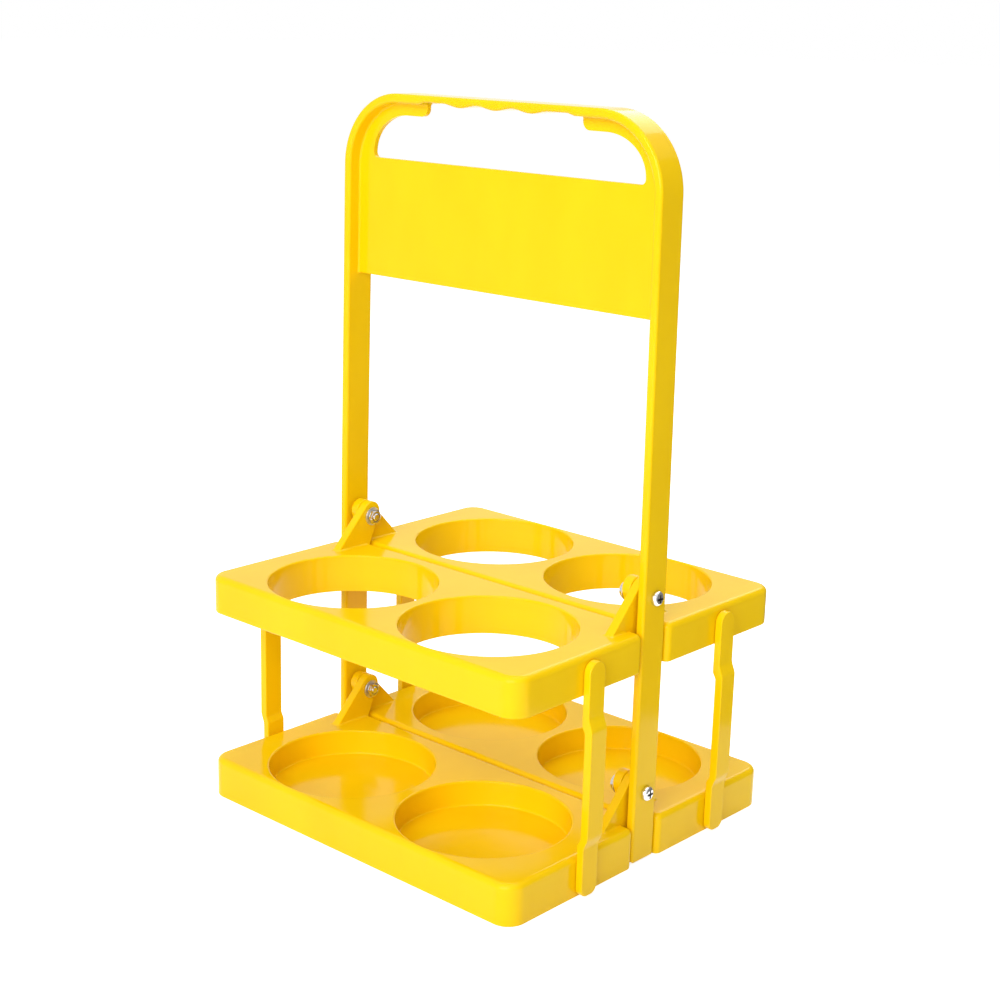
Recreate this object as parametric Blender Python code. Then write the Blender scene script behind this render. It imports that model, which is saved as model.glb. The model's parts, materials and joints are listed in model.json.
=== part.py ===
"""Folding carrier for four takeaway cups.

Metres, +Z up. X runs from post to post, -Y is the front, and the origin is on the floor under the middle.
Two decks hang on an upside-down U frame. Each deck is a front and a back half tray, hinged on bolts through
the posts, and side links make the halves of both decks fold up together.
"""

import math

import bmesh
import bpy
from mathutils import Matrix, Vector

# Roundness of the model
FACET = 0.00014               # how far a straight run may leave its arc
CUT_OVERRUN = 0.002           # how far a cutter runs past the face that it opens
SEAT_GAP = 0.0003             # between pieces that touch

# Cup seats
CUP_RADIUS = 0.0417
COLLAR_WALL = 0.0018
COLLAR_GAP = 0.0028           # between the two collars of a half tray
CUP_RIM_ROUNDING = 0.001
RECESS_DEPTH = 0.013
RECESS_FLOOR = 0.002
RECESS_FILLET = 0.0015

# Half trays, laid open
OUTER_LAND = 0.0031           # cup hole to the outer face
SEAM_LAND = 0.0089            # cup hole to the seam edge
SIDE_LAND = 0.0138            # collar to the side face
SEAM_GAP = 0.001              # between the two halves of a deck
LOWER_TOP = 0.0204            # the lower deck stands on its skirt
UPPER_SKIRT = 0.019
TOP_PLATE = 0.0024
SKIRT_WALL = 0.002
CORNER_RADIUS = 0.0095
TOP_ROUNDING = 0.003
SKIRT_ROUNDING = 0.0008
FOLD_GAP = 0.0008             # folded, from the lower half's outer face to the upper half's seam edge

# Notches that let the posts through
NOTCH_SIDE_GAP = 0.0011
NOTCH_FRONT_GAP = 0.0011
NOTCH_OUTER_RADIUS = 0.0032
NOTCH_INNER_RADIUS = 0.0024

# Hinge ears on the half trays
HINGE_RISE = 0.0146           # tray top to hinge axis
EAR_TIP_RADIUS = 0.0057
EAR_TIP_RISE = 0.0021         # hinge axis to the centre of the round tip
EAR_THICKNESS = 0.0047
EAR_HEEL = 0.0005             # from the seam edge
EAR_TOE = 0.023               # from the seam edge
EAR_ROOT = 0.003
EAR_FILLET = 0.0018           # where the ear meets the tray
EAR_ROUNDING = 0.0006
EAR_GAP = 0.0004              # between the front half's ear and the back half's
EAR_SETBACK = 0.0001          # from the notch face

# Handle frame
FRAME_HEIGHT = 0.348
FOOT_CLEARANCE = 0.0012       # from the floor
POST_SETBACK = 0.0014         # from the trays' side faces
BAND_THICKNESS = 0.0044
BAND_WIDTH = 0.0166
BAND_ROUNDING = 0.0012
SHOULDER_RADIUS = 0.036
SHOULDER_DRAW = 0.0016        # how far the shoulders lean in
DRAW_RISE = 0.0188            # upper hinge to where the posts start to lean in
WEB_THICKNESS = 0.0024
WEB_DEPTH = 0.0902            # from the frame's top to the web's lower edge
WEB_ROUNDING = 0.0005

# Hand hole and grip
HAND_HALF_WIDTH = 0.0848
HAND_DEPTH = 0.0318           # from the frame's top to the hand hole's lower edge
HAND_BOTTOM_RADIUS = 0.0025
HAND_TOP_WIDTH = 0.023        # of the curve that joins the side to the tab
TAB_DEPTH = 0.0105            # from the frame's top to the underside of the tabs
TAB_END = 0.0483              # from the middle
TAB_RADIUS = 0.004
GRIP_THICKNESS = 0.0033
GRIP_BLEND = 0.004
WAVE_HEIGHT = 0.0015
WAVE_LENGTH = 0.022
WAVE_COUNT = 3
WAVE_STEPS = 8                # straight runs in one wave

# Side links and their pegs
LINK_WIDTH = 0.0108
LINK_THICKNESS = 0.0038
LINK_FACE_BOW = 0.0021        # how far the outer face stands out in the middle
LINK_FACE_SLOPE = 0.007       # height of the slope to it
LINK_FACE_UPPER = 0.0198      # upper peg to the slope
LINK_FACE_LOWER = 0.0122      # lower peg to the slope
LINK_BACK_BOW = 0.0017        # the same for the inner face
LINK_BACK_SLOPE = 0.004
LINK_BACK_UPPER = 0.0244
LINK_BACK_LOWER = 0.0137
LINK_FOOT = 0.0111            # lower peg to the lower end
LINK_FOOT_RADIUS = 0.004
LINK_ROUNDING = 0.0005
LINK_NEAR = 0.0464            # peg to the middle plane, on the side where the ear stands by the post
LINK_FAR = 0.0517             # the same on the other side
PEG_DROP = 0.0082             # tray top to peg axis
PEG_RADIUS = 0.0025
PEG_PLAY = 0.0004
PEG_HEAD_RADIUS = 0.0034
PEG_HEAD_HEIGHT = 0.0013
PEG_HEAD_CHAMFER = 0.0007

# Hinge bolts, washers and nuts
BOLT_RADIUS = 0.002
BOLT_PLAY = 0.0003
HEAD_RADIUS = 0.00365
HEAD_HEIGHT = 0.0026
HEAD_SKIRT = 0.0007           # straight edge of the pan head
DRIVE_LENGTH = 0.0042
DRIVE_WIDTH = 0.001
DRIVE_DEPTH = 0.0013
DRIVE_ARMS = 4
WASHER_RADIUS = 0.0048
WASHER_THICKNESS = 0.0005
NUT_FLATS = 0.007
NUT_THICKNESS = 0.0022
NUT_ROUNDING = 0.0003
THREAD_END = 0.0004           # how far the bolt shows past its nut
NUT_SIDES = 6

# Colours, roughness and metallic value
FINISHES = {
    "frame_plastic": ((0.95, 0.62, 0.01), 0.2, 0.0),
    "tray_plastic": ((0.95, 0.62, 0.01), 0.2, 0.0),
    "link_plastic": ((0.95, 0.62, 0.01), 0.2, 0.0),
    "bolt_chrome": ((0.85, 0.85, 0.86), 0.15, 1.0),
    "nut_steel": ((0.75, 0.75, 0.76), 0.25, 1.0),
    "washer_steel": ((0.75, 0.75, 0.76), 0.3, 1.0),
}
SMOOTH_ANGLE = math.radians(35)

# Places worked out from the sizes
HALF_TURN = math.pi
CUP_X = CUP_RADIUS + COLLAR_WALL + COLLAR_GAP / 2
SIDE_X = CUP_X + CUP_RADIUS + COLLAR_WALL + SIDE_LAND
SEAM_Y = SEAM_GAP / 2
CUP_Y = SEAM_Y + SEAM_LAND + CUP_RADIUS
OUTER_Y = CUP_Y + CUP_RADIUS + OUTER_LAND
DECK_PITCH = OUTER_Y - SEAM_Y + FOLD_GAP
LOWER_HINGE_Z = LOWER_TOP + HINGE_RISE
UPPER_HINGE_Z = LOWER_HINGE_Z + DECK_PITCH
DRAW_START = UPPER_HINGE_Z + DRAW_RISE
WEB_BOTTOM = FRAME_HEIGHT - WEB_DEPTH
HAND_BOTTOM = FRAME_HEIGHT - HAND_DEPTH
POST_X = SIDE_X - POST_SETBACK
NOTCH_X = POST_X - BAND_THICKNESS - NOTCH_SIDE_GAP
NOTCH_Y = BAND_WIDTH / 2 + NOTCH_FRONT_GAP
EAR_X = NOTCH_X - EAR_SETBACK
INBOARD_EAR_X = EAR_X - EAR_THICKNESS - EAR_GAP
EAR_FACE_X = INBOARD_EAR_X - EAR_THICKNESS
PEG_Z = -HINGE_RISE - PEG_DROP

# Local X, Y and Z of a slab or a turned piece, set along the model's axes
ALONG_Z = Matrix.Identity(3)
ALONG_X = Matrix(((0, 0, 1), (1, 0, 0), (0, 1, 0)))
ALONG_Y = Matrix(((1, 0, 0), (0, 0, -1), (0, 1, 0)))


def arc_steps(radius, angle):
    """How many straight runs stand for an arc."""
    widest = 2 * math.acos(1 - min(1, FACET / radius))
    return max(2, math.ceil(abs(angle) / widest))


def arc(centre, start, angle, steps):
    """The points of an arc about the centre, from the start point."""
    arm = start - centre
    points = []
    for step in range(steps + 1):
        turned_arm = arm.copy()
        turned_arm.rotate(Matrix.Rotation(angle * step / steps, 2))
        points.append(centre + turned_arm)
    return points


def circle(radius):
    """A closed round outline."""
    steps = arc_steps(radius, 2 * math.pi)
    return arc(Vector((0, 0)), Vector((radius, 0)), 2 * math.pi, steps)[:-1]


def filleted(corners):
    """A closed outline from corners given as (x, y, radius), each corner rounded by its arc."""
    outline = []
    for i, (x, y, radius) in enumerate(corners):
        here = Vector((x, y))
        before = (here - Vector(corners[i - 1][:2])).normalized()
        after = (Vector(corners[(i + 1) % len(corners)][:2]) - here).normalized()
        if radius == 0:
            outline.append(here)
            continue
        turn = math.atan2(before.cross(after), before.dot(after))
        tangent = radius * math.tan(abs(turn) / 2)
        start = here - before * tangent
        inward = Vector((-before.y, before.x)) * math.copysign(radius, turn)
        outline += arc(start + inward, start, turn, arc_steps(radius, turn))
    return outline


def drawn_in(outline, inset):
    """The outline with each of its sides moved inwards."""
    points = []
    for i, here in enumerate(outline):
        before = (here - outline[i - 1]).normalized()
        after = (outline[(i + 1) % len(outline)] - here).normalized()
        inward = Vector((-before.y, before.x)) + Vector((-after.y, after.x))
        points.append(here + inward * (inset / (1 + before.dot(after))))
    return points


def rounded_edge(radius):
    """Drop and inset along a rounded edge, from the side face to the flat face."""
    if radius == 0:
        return [(0, 0)]
    steps = arc_steps(radius, math.pi / 2)
    angles = [math.pi / 2 * step / steps for step in range(steps + 1)]
    return [(radius * (1 - math.sin(angle)), radius * (1 - math.cos(angle))) for angle in angles]


def ring_heights(low, high, low_rounding=0, high_rounding=0):
    """Heights and insets of a slab's rings, with its two edges rounded."""
    bottom = [(low + drop, inset) for drop, inset in reversed(rounded_edge(low_rounding))]
    top = [(high - drop, inset) for drop, inset in rounded_edge(high_rounding)]
    return bottom + top


def as_mesh(shape, name="piece"):
    """Turns a finished bmesh into a mesh."""
    mesh = bpy.data.meshes.new(name)
    shape.to_mesh(mesh)
    shape.free()
    return mesh


def slab(outline, rings, axes=ALONG_Z, shift=Vector((0, 0, 0))):
    """A closed stack of rings, each the outline drawn in by its own inset."""
    shape = bmesh.new()
    stack = []
    for height, inset in rings:
        points = [shift + axes @ Vector((*point, height)) for point in drawn_in(outline, inset)]
        stack.append([shape.verts.new(point) for point in points])
    shape.faces.new(reversed(stack[0]))
    shape.faces.new(stack[-1])
    for low, high in zip(stack, stack[1:]):
        for i in range(len(low)):
            shape.faces.new((low[i - 1], low[i], high[i], high[i - 1]))
    return as_mesh(shape)


def turned(profile, axes=ALONG_Z, shift=Vector((0, 0, 0))):
    """A solid turned from (radius, height) points, listed from its lower end to its upper end."""
    shape = bmesh.new()
    steps = arc_steps(max(radius for radius, _ in profile), 2 * math.pi)
    stack = []
    for radius, height in profile:
        angles = [2 * math.pi * step / steps for step in range(steps)]
        points = [Vector((radius * math.cos(angle), radius * math.sin(angle), height)) for angle in angles]
        stack.append([shape.verts.new(shift + axes @ point) for point in points])
    shape.faces.new(reversed(stack[0]))
    shape.faces.new(stack[-1])
    for low, high in zip(stack, stack[1:]):
        for i in range(steps):
            shape.faces.new((low[i - 1], low[i], high[i], high[i - 1]))
    return as_mesh(shape)


def side_by_side(*meshes):
    """One mesh that holds several solids that don't touch."""
    shape = bmesh.new()
    for mesh in meshes:
        shape.from_mesh(mesh)
        bpy.data.meshes.remove(mesh)
    return as_mesh(shape)


def combined(body, tool, operation):
    """The body's mesh after the tool is joined to it, or cut from it."""
    holders = []
    for mesh in (body, tool):
        holder = bpy.data.objects.new("holder", mesh)
        bpy.context.collection.objects.link(holder)
        holders.append(holder)
    change = holders[0].modifiers.new("change", "BOOLEAN")
    change.object = holders[1]
    change.operation = operation
    change.solver = "EXACT"
    graph = bpy.context.evaluated_depsgraph_get()
    result = bpy.data.meshes.new_from_object(holders[0].evaluated_get(graph), depsgraph=graph)
    for holder in holders:
        bpy.data.objects.remove(holder)
    for mesh in (body, tool):
        bpy.data.meshes.remove(mesh)
    return result


def finish(name):
    """The material of one kind of piece."""
    material = bpy.data.materials.new(name)
    material.use_nodes = True
    shader = material.node_tree.nodes["Principled BSDF"]
    colour, roughness, metallic = FINISHES[name]
    shader.inputs["Base Color"].default_value = (*colour, 1.0)
    shader.inputs["Roughness"].default_value = roughness
    shader.inputs["Metallic"].default_value = metallic
    return material


def place(name, mesh, material, location=(0, 0, 0), turn=0.0, parent=None):
    """Sets a named piece at its place, turned about the vertical."""
    piece = bpy.data.objects.new(name, mesh)
    bpy.context.collection.objects.link(piece)
    piece.parent = parent
    piece.location = location
    piece.rotation_euler = (0, 0, turn)
    if not mesh.materials:
        mesh.materials.append(material)
    mesh.shade_smooth()
    mesh.set_sharp_from_angle(angle=SMOOTH_ANGLE)
    return piece


def tray_outline():
    """Plan of the front half tray, with a notch for the post at each end of its seam edge."""
    return filleted([
        (-SIDE_X, -OUTER_Y, CORNER_RADIUS),
        (SIDE_X, -OUTER_Y, CORNER_RADIUS),
        (SIDE_X, -NOTCH_Y, NOTCH_OUTER_RADIUS),
        (NOTCH_X, -NOTCH_Y, NOTCH_INNER_RADIUS),
        (NOTCH_X, -SEAM_Y, NOTCH_OUTER_RADIUS),
        (-NOTCH_X, -SEAM_Y, NOTCH_OUTER_RADIUS),
        (-NOTCH_X, -NOTCH_Y, NOTCH_INNER_RADIUS),
        (-SIDE_X, -NOTCH_Y, NOTCH_OUTER_RADIUS),
    ])


def tangent_angle(point, side):
    """Where a line from the point touches the ear's round tip, as an angle about the tip's centre."""
    arm = point - Vector((0, EAR_TIP_RISE))
    return math.atan2(arm.y, arm.x) + side * math.acos(EAR_TIP_RADIUS / arm.length)


def ear_outline():
    """Side view of a hinge ear in Y and Z from the hinge axis: a foot, two straight flanks, a round tip."""
    foot = -HINGE_RISE - EAR_ROOT
    centre = Vector((0, EAR_TIP_RISE))
    heel = Vector((-SEAM_Y - EAR_HEEL, -HINGE_RISE))
    toe = Vector((-SEAM_Y - EAR_TOE, -HINGE_RISE))
    first = tangent_angle(heel, 1)
    last = tangent_angle(toe, -1) + 2 * math.pi
    start = centre + EAR_TIP_RADIUS * Vector((math.cos(first), math.sin(first)))
    steps = arc_steps(EAR_TIP_RADIUS, last - first)
    tip = arc(centre, start, last - first, steps)
    return [Vector((toe.x, foot)), Vector((heel.x, foot)), heel, *tip, toe]


def ear(outer_x):
    """A hinge ear whose outboard face is at outer_x."""
    rings = ring_heights(outer_x - EAR_THICKNESS, outer_x, EAR_ROUNDING, EAR_ROUNDING)
    return slab(ear_outline(), rings, ALONG_X)


def ear_fillet(low_x, high_x):
    """The flared foot round an ear, as wide as the two places across it, leaning with the ear's flank."""
    heel = -SEAM_Y - EAR_HEEL - EAR_ROUNDING
    toe = -SEAM_Y - EAR_TOE - EAR_FILLET + EAR_ROUNDING / 2
    radius = EAR_FILLET + EAR_ROUNDING
    corners = [(low_x, toe), (high_x, toe), (high_x, heel), (low_x, heel)]
    outline = filleted([(x, y, radius) for x, y in corners])
    rings = [(-EAR_ROOT, 0)]
    rings += [(inset, EAR_FILLET - drop) for drop, inset in rounded_edge(EAR_FILLET)]
    mesh = slab(outline, rings, shift=Vector((0, 0, -HINGE_RISE)))
    flank = ear_outline()
    lean = (flank[-2] - flank[-1]).x / (flank[-2] - flank[-1]).y
    for vert in mesh.vertices:
        rise = max(0, vert.co.z + HINGE_RISE)
        toe_share = (heel - vert.co.y) / (heel - toe)
        vert.co.y += lean * rise * toe_share
    return mesh


def cup_places():
    """Centres of the two cup seats, seen from above."""
    return [Vector((side * CUP_X, -CUP_Y, 0)) for side in (-1, 1)]


def cup_cutter(centre, top, floor, fillet):
    """What a cup seat takes out of the tray, with a rounded rim and a fillet at its floor."""
    profile = [(CUP_RADIUS - inset, floor + drop) for drop, inset in reversed(rounded_edge(fillet))]
    profile += [(CUP_RADIUS + drop, top - inset) for drop, inset in reversed(rounded_edge(CUP_RIM_ROUNDING))]
    profile.append((CUP_RADIUS + CUP_RIM_ROUNDING, top + CUT_OVERRUN))
    return turned(profile, shift=centre)


def half_tray(skirt, seat_depth, fillet):
    """The front half of a deck, from the hinge axis, with a skirt and cup seats of the given depths.

    A seat as deep as the skirt or deeper is a hole right through, and a shallower one has a floor.
    """
    top = -HINGE_RISE
    bottom = top - skirt
    outline = tray_outline()
    body = slab(outline, ring_heights(bottom, top, SKIRT_ROUNDING, TOP_ROUNDING))
    ears = side_by_side(ear(EAR_X), ear(-EAR_FACE_X))
    body = combined(body, ears, "UNION")
    flare = EAR_FILLET - EAR_ROUNDING / 2
    post_side = ear_fillet(EAR_X - EAR_THICKNESS - flare, EAR_X - EAR_ROUNDING)
    free_side = ear_fillet(-INBOARD_EAR_X - flare, -EAR_FACE_X + flare)
    body = combined(body, side_by_side(post_side, free_side), "UNION")

    hollow_rings = ring_heights(bottom - CUT_OVERRUN, top - TOP_PLATE)
    hollow = slab(drawn_in(outline, SKIRT_WALL), hollow_rings)
    collar_rings = ring_heights(top - seat_depth - RECESS_FLOOR, top)
    collar = circle(CUP_RADIUS + COLLAR_WALL)
    collars = [slab(collar, collar_rings, shift=centre) for centre in cup_places()]
    hollow = combined(hollow, side_by_side(*collars), "DIFFERENCE")
    body = combined(body, hollow, "DIFFERENCE")

    seats = [cup_cutter(centre, top, top - seat_depth, fillet) for centre in cup_places()]
    body = combined(body, side_by_side(*seats), "DIFFERENCE")

    reach = SIDE_X + CUT_OVERRUN
    bolt_bore = slab(circle(BOLT_RADIUS + BOLT_PLAY), ring_heights(-reach, reach), ALONG_X)
    near_bore = peg_bore(SIDE_X - SKIRT_WALL - CUT_OVERRUN, LINK_NEAR)
    far_bore = peg_bore(-reach, LINK_FAR)
    return combined(body, side_by_side(bolt_bore, near_bore, far_bore), "DIFFERENCE")


def peg_bore(start_x, distance):
    """The cutter of a peg's hole through a side wall."""
    rings = ring_heights(start_x, start_x + SKIRT_WALL + 2 * CUT_OVERRUN)
    return slab(circle(PEG_RADIUS + PEG_PLAY), rings, ALONG_X, Vector((0, -distance, PEG_Z)))


def band_path(inset, start_z):
    """The right half of the frame's outline drawn in by the inset, from the given height to the top."""
    shoulder_x = POST_X - SHOULDER_DRAW
    shoulder_z = FRAME_HEIGHT - SHOULDER_RADIUS
    if start_z < DRAW_START:
        points = [Vector((POST_X - inset, start_z)), Vector((POST_X - inset, DRAW_START))]
    else:
        lean_share = (start_z - DRAW_START) / (shoulder_z - DRAW_START)
        points = [Vector((POST_X - SHOULDER_DRAW * lean_share - inset, start_z))]
    centre = Vector((shoulder_x - SHOULDER_RADIUS, shoulder_z))
    shoulder = Vector((shoulder_x - inset, shoulder_z))
    steps = arc_steps(SHOULDER_RADIUS, math.pi / 2)
    return points + arc(centre, shoulder, math.pi / 2, steps)


def mirrored(points):
    """The same points on the other side of the middle plane, in reverse order."""
    return [Vector((-point.x, point.y)) for point in reversed(points)]


def grip_underside():
    """Underside of the grip, from left to right: waves for the fingers between two thin ends."""
    points = [Vector((-TAB_END, FRAME_HEIGHT - BAND_THICKNESS))]
    points.append(Vector((GRIP_BLEND - TAB_END, FRAME_HEIGHT - GRIP_THICKNESS)))
    for step in range(WAVE_COUNT * WAVE_STEPS + 1):
        wave_share = step / WAVE_STEPS
        rise = WAVE_HEIGHT * (1 - math.cos(2 * math.pi * wave_share)) / 2
        x = WAVE_LENGTH * (wave_share - WAVE_COUNT / 2)
        points.append(Vector((x, FRAME_HEIGHT - GRIP_THICKNESS - rise)))
    return points + mirrored(points[:2])


def band():
    """The flat band that runs up both posts and over the top."""
    outer = band_path(0, FOOT_CLEARANCE)
    inner = band_path(BAND_THICKNESS, FOOT_CLEARANCE)[::-1]
    outline = outer + mirrored(outer) + mirrored(inner) + grip_underside() + inner
    rings = ring_heights(-BAND_WIDTH / 2, BAND_WIDTH / 2, BAND_ROUNDING, BAND_ROUNDING)
    return slab(outline, rings, ALONG_Y)


def hand_hole():
    """Outline of the hand hole in the web, open at the top between its two tabs."""
    tab_z = FRAME_HEIGHT - TAB_DEPTH
    side_z = HAND_BOTTOM + HAND_BOTTOM_RADIUS
    foot = Vector((HAND_HALF_WIDTH - HAND_BOTTOM_RADIUS, HAND_BOTTOM))
    quarter = math.pi / 2
    right = arc(Vector((foot.x, side_z)), foot, quarter, arc_steps(HAND_BOTTOM_RADIUS, quarter))
    steps = arc_steps(HAND_TOP_WIDTH, quarter)
    for step in range(1, steps + 1):
        angle = quarter * step / steps
        x = HAND_HALF_WIDTH - HAND_TOP_WIDTH * (1 - math.cos(angle))
        right.append(Vector((x, side_z + (tab_z - side_z) * math.sin(angle))))
    tab = Vector((TAB_END + TAB_RADIUS, tab_z))
    right += arc(Vector((tab.x, tab_z + TAB_RADIUS)), tab, -quarter, arc_steps(TAB_RADIUS, quarter))
    right.append(Vector((TAB_END, FRAME_HEIGHT + CUT_OVERRUN)))
    return right + mirrored(right)


def handle_frame():
    """The whole frame: band, web with its hand hole, and the bolt holes in the posts."""
    edge = band_path(BAND_THICKNESS / 2, WEB_BOTTOM)
    rings = ring_heights(-WEB_THICKNESS / 2, WEB_THICKNESS / 2, WEB_ROUNDING, WEB_ROUNDING)
    web = slab(edge + mirrored(edge), rings, ALONG_Y)
    hole_rings = ring_heights(-WEB_THICKNESS / 2 - CUT_OVERRUN, WEB_THICKNESS / 2 + CUT_OVERRUN)
    web = combined(web, slab(hand_hole(), hole_rings, ALONG_Y), "DIFFERENCE")
    body = combined(band(), web, "UNION")
    reach = POST_X + CUT_OVERRUN
    bore = circle(BOLT_RADIUS + BOLT_PLAY)
    bores = []
    for height in (LOWER_HINGE_Z, UPPER_HINGE_Z):
        bores.append(slab(bore, ring_heights(-reach, reach), ALONG_X, Vector((0, 0, height))))
    return combined(body, side_by_side(*bores), "DIFFERENCE")


def link_outline():
    """Face of a link in Y and Z from its upper peg: round above, two small corner arcs below."""
    half = LINK_WIDTH / 2
    foot = -DECK_PITCH - LINK_FOOT
    return filleted([
        (half, half, half),
        (-half, half, half),
        (-half, foot, LINK_FOOT_RADIUS),
        (half, foot, LINK_FOOT_RADIUS),
    ])


def bow_at(height, bow, slope, upper, lower):
    """How far a face of a link stands out at a height from its upper peg."""
    below_upper = (-upper - height) / slope
    above_lower = (height + DECK_PITCH - lower) / slope
    return bow * max(0, min(1, below_upper, above_lower))


def peg(height):
    """A snap peg that points inboard from a link, with its chamfered head inside the tray's wall."""
    wall_inside = -SKIRT_WALL
    head_start = wall_inside - SEAT_GAP
    head_end = head_start - PEG_HEAD_HEIGHT
    profile = [
        (PEG_HEAD_RADIUS - PEG_HEAD_CHAMFER, head_end),
        (PEG_HEAD_RADIUS, head_end + PEG_HEAD_CHAMFER),
        (PEG_HEAD_RADIUS, head_start),
        (PEG_RADIUS, head_start),
        (PEG_RADIUS, SEAT_GAP + LINK_THICKNESS / 2),
    ]
    return turned(profile, ALONG_X, Vector((0, 0, height)))


def link():
    """A side link of the right-hand side, from its upper peg's axis and the tray's side face."""
    rings = ring_heights(SEAT_GAP, SEAT_GAP + LINK_THICKNESS, LINK_ROUNDING, LINK_ROUNDING)
    mesh = slab(link_outline(), rings, ALONG_X)
    shape = bmesh.new()
    shape.from_mesh(mesh)
    face = (LINK_FACE_BOW, LINK_FACE_SLOPE, LINK_FACE_UPPER, LINK_FACE_LOWER)
    back = (LINK_BACK_BOW, LINK_BACK_SLOPE, LINK_BACK_UPPER, LINK_BACK_LOWER)
    for _, slope, upper, lower in (face, back):
        rise = lower - DECK_PITCH
        for height in (-upper, -upper - slope, rise + slope, rise):
            everything = shape.verts[:] + shape.edges[:] + shape.faces[:]
            bmesh.ops.bisect_plane(shape, geom=everything, plane_co=(0, 0, height), plane_no=(0, 0, 1))
    for vert in shape.verts:
        face_share = (vert.co.x - SEAT_GAP) / LINK_THICKNESS
        face_bow = bow_at(vert.co.z, *face)
        back_bow = bow_at(vert.co.z, *back)
        vert.co.x += face_bow * face_share + back_bow * (1 - face_share)
    bpy.data.meshes.remove(mesh)
    return combined(as_mesh(shape), side_by_side(peg(0), peg(-DECK_PITCH)), "UNION")


def bolt():
    """A pan head bolt along X, from the middle plane, its head on the post's outer face."""
    seat = POST_X + SEAT_GAP
    tip = EAR_FACE_X - WASHER_THICKNESS - NUT_THICKNESS - 2 * SEAT_GAP - THREAD_END
    crown = HEAD_HEIGHT - HEAD_SKIRT
    profile = [(BOLT_RADIUS, tip), (BOLT_RADIUS, seat), (HEAD_RADIUS, seat)]
    for drop, inset in rounded_edge(crown):
        profile.append((HEAD_RADIUS - inset, seat + HEAD_HEIGHT - drop))
    body = turned(profile, ALONG_X)
    drive_rings = ring_heights(seat + HEAD_HEIGHT - DRIVE_DEPTH, seat + HEAD_HEIGHT + CUT_OVERRUN)
    arm = DRIVE_WIDTH / 2
    tip_arm = DRIVE_LENGTH / 2
    quarter = [(arm, arm), (arm, tip_arm), (-arm, tip_arm)]
    cross = []
    for side in range(DRIVE_ARMS):
        spin = Matrix.Rotation(2 * math.pi * side / DRIVE_ARMS, 2)
        cross += [spin @ Vector(point) for point in quarter]
    return combined(body, slab(cross, drive_rings, ALONG_X), "DIFFERENCE")


def washer():
    """A flat washer along X, from the middle plane, on the inboard ear."""
    high = EAR_FACE_X - SEAT_GAP
    body = slab(circle(WASHER_RADIUS), ring_heights(high - WASHER_THICKNESS, high), ALONG_X)
    bore_rings = ring_heights(high - WASHER_THICKNESS - CUT_OVERRUN, high + CUT_OVERRUN)
    bore = slab(circle(BOLT_RADIUS + BOLT_PLAY), bore_rings, ALONG_X)
    return combined(body, bore, "DIFFERENCE")


def nut():
    """A hexagon nut along X, from the middle plane, on its washer."""
    high = EAR_FACE_X - WASHER_THICKNESS - 2 * SEAT_GAP
    low = high - NUT_THICKNESS
    corner = Vector((NUT_FLATS / 2 / math.cos(math.pi / NUT_SIDES), 0))
    hexagon = arc(Vector((0, 0)), corner, 2 * math.pi, NUT_SIDES)[:-1]
    body = slab(hexagon, ring_heights(low, high, NUT_ROUNDING, NUT_ROUNDING), ALONG_X)
    bore_rings = ring_heights(low - CUT_OVERRUN, high + CUT_OVERRUN)
    bore = slab(circle(BOLT_RADIUS + BOLT_PLAY), bore_rings, ALONG_X)
    return combined(body, bore, "DIFFERENCE")


def build():
    """Makes every piece and sets it at its place, with the trays laid open."""
    for old in list(bpy.data.objects):
        bpy.data.objects.remove(old)
    materials = {name: finish(name) for name in FINISHES}
    frame = place("handle_frame", handle_frame(), materials["frame_plastic"])

    upper_mesh = half_tray(UPPER_SKIRT, UPPER_SKIRT + CUT_OVERRUN, 0)
    lower_mesh = half_tray(LOWER_TOP, RECESS_DEPTH, RECESS_FILLET)
    link_mesh = link()
    halves = (("front", 0.0, "right", "left"), ("back", HALF_TURN, "left", "right"))
    for half, turn, near_side, far_side in halves:
        hinge = (0, 0, UPPER_HINGE_Z)
        upper = place(f"upper_{half}_tray", upper_mesh, materials["tray_plastic"], hinge, turn, frame)
        hinge = (0, 0, LOWER_HINGE_Z)
        place(f"lower_{half}_tray", lower_mesh, materials["tray_plastic"], hinge, turn, frame)
        near = (SIDE_X, -LINK_NEAR, PEG_Z)
        place(f"link_{half}_{near_side}", link_mesh, materials["link_plastic"], near, 0.0, upper)
        far = (-SIDE_X, -LINK_FAR, PEG_Z)
        place(f"link_{half}_{far_side}", link_mesh, materials["link_plastic"], far, HALF_TURN, upper)

    bolt_mesh = bolt()
    washer_mesh = washer()
    nut_mesh = nut()
    for deck, height in (("upper", UPPER_HINGE_Z), ("lower", LOWER_HINGE_Z)):
        for side, turn in (("right", 0.0), ("left", HALF_TURN)):
            axis = (0, 0, height)
            place(f"bolt_{deck}_{side}", bolt_mesh, materials["bolt_chrome"], axis, turn, frame)
            place(f"washer_{deck}_{side}", washer_mesh, materials["washer_steel"], axis, turn, frame)
            place(f"nut_{deck}_{side}", nut_mesh, materials["nut_steel"], axis, turn, frame)


build()
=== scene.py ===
"""The folding cup carrier with its finest edges, in a white studio, seen from the photograph's place.

Metres, in the part's own frame: X from post to post, -Y the front, +Z up. Each piece stands for the
node of the same name and rides on its body. Its round edges are finer than the node's, and it adds
fillets, moulding marks and the shapes of real fasteners.
"""

import json
import math

import bmesh
import bpy
from mathutils import Matrix, Vector


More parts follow.
